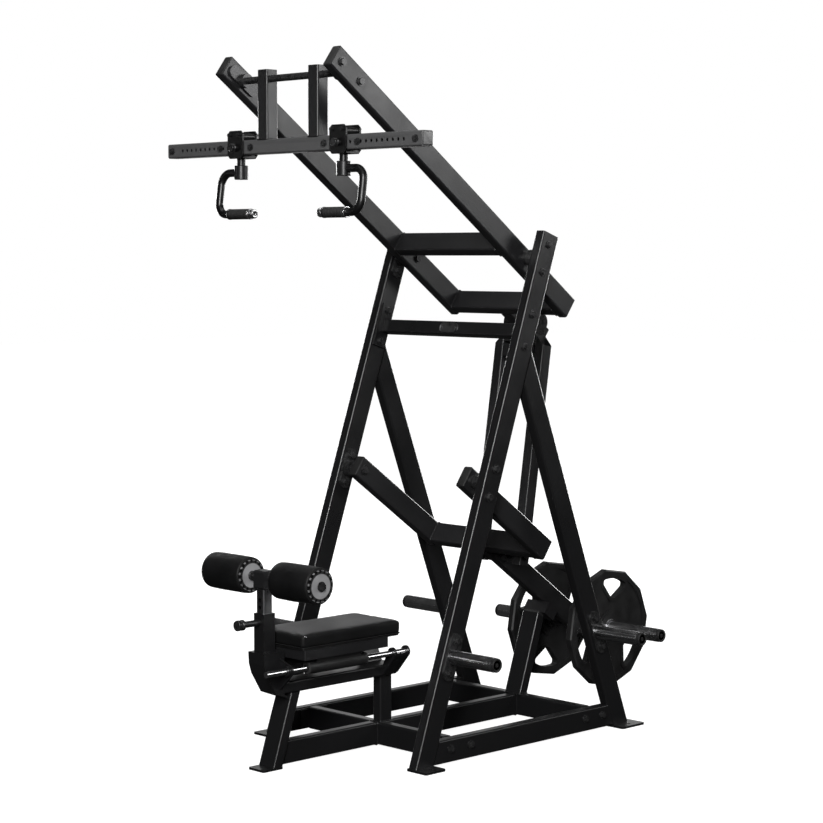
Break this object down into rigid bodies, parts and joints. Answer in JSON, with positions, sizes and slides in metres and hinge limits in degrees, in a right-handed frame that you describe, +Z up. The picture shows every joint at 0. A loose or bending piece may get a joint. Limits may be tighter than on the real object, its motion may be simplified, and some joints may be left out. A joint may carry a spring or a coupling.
{
  "type": "lat pulldown machine",
  "caption": "Plate-loaded pulldown machine: leaning steel legs, upper and lower arms joined by a link, swivelling handles on a drilled beam, seat and thigh rollers.",
  "frame": {"origin": "on the floor under the middle of the machine's bounding box", "axes": "+Z up, -Y towards the user's seat, +X across; left and right mirror in X = 0 apart from the plates' holes"},
  "size_m": [1.284, 1.9252, 2.401],
  "materials": {
    "frame_black": "satin powder coat",
    "arm_black": "satin powder coat",
    "beam_grey": "satin powder coat",
    "bolt_black": "black oxide",
    "chrome": "polished",
    "post_steel": "satin",
    "disc_aluminium": "turned",
    "cap_black": "matte",
    "stop_rubber": "matte",
    "foam_black": "smooth",
    "pad_black": "grained",
    "grip_rubber": "ribbed",
    "plate_black": "rubber coated",
    "badge": "brushed"
  },
  "bodies": {
    "frame": {"right_front_leg": "frame_black", "left_front_leg": "frame_black", "right_rear_leg": "frame_black", "left_rear_leg": "frame_black", "base_side_tubes": "frame_black", "base_cross_tubes": "frame_black", "base_spine": "frame_black", "foot_plates": "frame_black", "rest_post": "frame_black", "rest_pad": "stop_rubber", "badge_beam": "frame_black", "badge_plate": "badge", "seat_supports": "frame_black", "seat_rail": "frame_black", "seat_bracket": "frame_black", "rod_lugs": "frame_black", "frame_bolts": "bolt_black", "arm_bearings": "bolt_black", "storage_horns": "chrome", "storage_horn_fittings": "bolt_black", "seat_guide_rods": "chrome"},
    "upper_arm": {"upper_rails": "arm_black", "upper_cross_tubes": "arm_black", "upper_stub": "arm_black", "upper_arm_pins": "bolt_black", "handle_shaft_bearings": "bolt_black"},
    "link_yoke": {"link_tubes": "arm_black", "link_crossbar": "arm_black", "link_fittings": "bolt_black"},
    "lower_arm": {"lower_rails": "arm_black", "lower_cross_tube": "arm_black", "lower_centre_tube": "arm_black", "lower_arm_pins": "bolt_black", "plate_horn": "chrome", "plate_horn_collars": "bolt_black"},
    "handle_yoke": {"handle_shaft": "bolt_black", "yoke_tubes": "arm_black", "handle_beam": "beam_grey", "beam_stop_bolts": "bolt_black"},
    "right_carriage": {"carriage_right": "arm_black"},
    "left_carriage": {"carriage_left": "arm_black"},
    "right_carriage_pin": {"carriage_pin_right": "bolt_black"},
    "left_carriage_pin": {"carriage_pin_left": "bolt_black"},
    "right_handle": {"handle_right": "arm_black", "grip_right": "grip_rubber"},
    "left_handle": {"handle_left": "arm_black", "grip_left": "grip_rubber"},
    "hold_down": {"hold_down_post": "post_steel", "roller_head": "arm_black", "roller_axle": "bolt_black"},
    "right_roller": {"roller_right": "foam_black", "roller_discs_right": "disc_aluminium"},
    "left_roller": {"roller_left": "foam_black", "roller_discs_left": "disc_aluminium"},
    "post_pin": {"post_pull_pin": "bolt_black"},
    "seat": {"seat_box": "arm_black", "seat_bearings": "cap_black", "seat_pad": "pad_black"},
    "right_plate": {"weight_plate_right": "plate_black"},
    "left_plate": {"weight_plate_left": "plate_black"}
  },
  "joints": [
    {"name": "lower_arm_pivot", "type": "hinge", "parent": "frame", "child": "lower_arm", "pos_m": [0, -0.14399, 0.94438], "axis": [1, 0, 0], "range_deg": [0, 32.27]},
    {"name": "upper_arm_pivot", "type": "hinge", "parent": "frame", "child": "upper_arm", "pos_m": [0, 0.12283, 1.71489], "axis": [1, 0, 0], "range_deg": [0, 45.2]},
    {"name": "link_top_pivot", "type": "hinge", "parent": "upper_arm", "child": "link_yoke", "pos_m": [0, 0.43845, 1.47708], "axis": [1, 0, 0], "range_deg": [-44, 0]},
    {"name": "handle_yoke_swing", "type": "hinge", "parent": "upper_arm", "child": "handle_yoke", "pos_m": [0, -0.71198, 2.31969], "axis": [1, 0, 0], "range_deg": [-75, 20]},
    {"name": "right_carriage_slide", "type": "slide", "parent": "handle_yoke", "child": "right_carriage", "axis": [1, 0, 0], "range_m": [-0.02, 0.034]},
    {"name": "right_carriage_pin_pull", "type": "slide", "parent": "right_carriage", "child": "right_carriage_pin", "axis": [0, -1, 0], "range_m": [0, 0.01], "stiffness_N_per_m": 700},
    {"name": "right_handle_swivel", "type": "hinge", "parent": "right_carriage", "child": "right_handle", "pos_m": [0.2605, -0.71631, 2.008], "axis": [0, 0, 1], "continuous": true},
    {"name": "right_roller_spin", "type": "hinge", "parent": "hold_down", "child": "right_roller", "pos_m": [0.174, -0.83431, 0.648], "axis": [1, 0, 0], "continuous": true},
    {"name": "right_plate_slide", "type": "slide", "parent": "lower_arm", "child": "right_plate", "axis": [1, 0, 0], "range_m": [0, 0.29]},
    {"name": "left_carriage_slide", "type": "slide", "parent": "handle_yoke", "child": "left_carriage", "axis": [-1, 0, 0], "range_m": [-0.02, 0.034]},
    {"name": "left_carriage_pin_pull", "type": "slide", "parent": "left_carriage", "child": "left_carriage_pin", "axis": [0, -1, 0], "range_m": [0, 0.01], "stiffness_N_per_m": 700},
    {"name": "left_handle_swivel", "type": "hinge", "parent": "left_carriage", "child": "left_handle", "pos_m": [-0.2605, -0.71631, 2.008], "axis": [0, 0, 1], "continuous": true},
    {"name": "left_roller_spin", "type": "hinge", "parent": "hold_down", "child": "left_roller", "pos_m": [-0.174, -0.83431, 0.648], "axis": [1, 0, 0], "continuous": true},
    {"name": "left_plate_slide", "type": "slide", "parent": "lower_arm", "child": "left_plate", "axis": [-1, 0, 0], "range_m": [0, 0.29]},
    {"name": "hold_down_height", "type": "slide", "parent": "frame", "child": "hold_down", "axis": [0, 0, 1], "range_m": [-0.025, 0.1]},
    {"name": "post_pin_pull", "type": "slide", "parent": "frame", "child": "post_pin", "axis": [0, -1, 0], "range_m": [0, 0.012], "stiffness_N_per_m": 900},
    {"name": "seat_slide", "type": "slide", "parent": "frame", "child": "seat", "axis": [0, 1, 0], "range_m": [-0.018, 0.12]}
  ],
  "couplings": [
    {"joint": "upper_arm_pivot", "follows": "lower_arm_pivot", "ratio": 1.3947},
    {"joint": "link_top_pivot", "follows": "lower_arm_pivot", "ratio": -1.3502}
  ]
}
